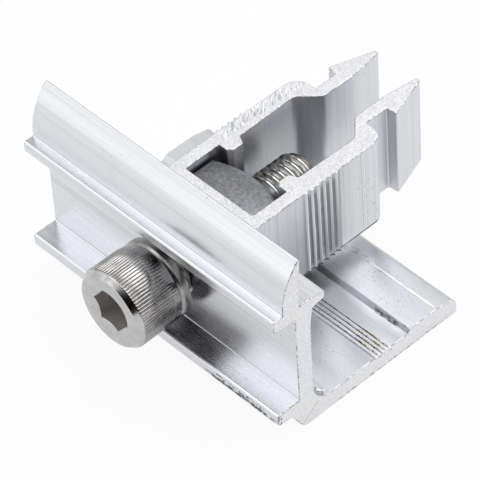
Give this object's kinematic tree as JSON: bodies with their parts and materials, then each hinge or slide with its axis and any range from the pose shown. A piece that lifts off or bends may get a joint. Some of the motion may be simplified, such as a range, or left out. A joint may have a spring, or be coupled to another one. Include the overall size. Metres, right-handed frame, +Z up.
{
  "type": "solar end clamp",
  "caption": "End clamp for a framed solar panel: extruded L-shaped jaw, socket cap screw with washer, square nut held in a two-armed snap-in rail nut.",
  "frame": {"origin": "on the underside of the leg, below the inner face of the web, half way along the jaw", "axes": "+X along the jaw's length, +Y along the screw from its head towards the rail, +Z up from the leg to the blade's tip"},
  "size_m": [0.051, 0.0572, 0.0332],
  "materials": {
    "jaw_aluminium": "extruded mill finish",
    "rail_nut_aluminium": "extruded mill finish, saw-cut ends",
    "nut_steel": "dull pressed stainless steel",
    "screw_steel": "stainless steel, satin",
    "washer_steel": "stainless steel, satin"
  },
  "bodies": {
    "jaw": {"clamp_jaw": "jaw_aluminium"},
    "washer_ring": {"washer": "washer_steel"},
    "screw": {"cap_screw": "screw_steel"},
    "nut_slider": {"rail_nut": "rail_nut_aluminium", "square_nut": "nut_steel"}
  },
  "joints": [
    {"name": "screw_float", "type": "slide", "parent": "jaw", "child": "washer_ring", "axis": [0, 1, 0], "range_m": [0, 0.0019]},
    {"name": "screw_turn", "type": "hinge", "parent": "washer_ring", "child": "screw", "pos_m": [0, 0, 0.0142], "axis": [0, 1, 0], "range_deg": [-2850, 777]},
    {"name": "nut_travel", "type": "slide", "parent": "washer_ring", "child": "nut_slider", "axis": [0, 1, 0], "range_m": [-0.0027, 0.0099]}
  ],
  "couplings": [
    {"joint": "nut_travel", "follows": "screw_turn", "m_per_rad": -0.00019894}
  ]
}
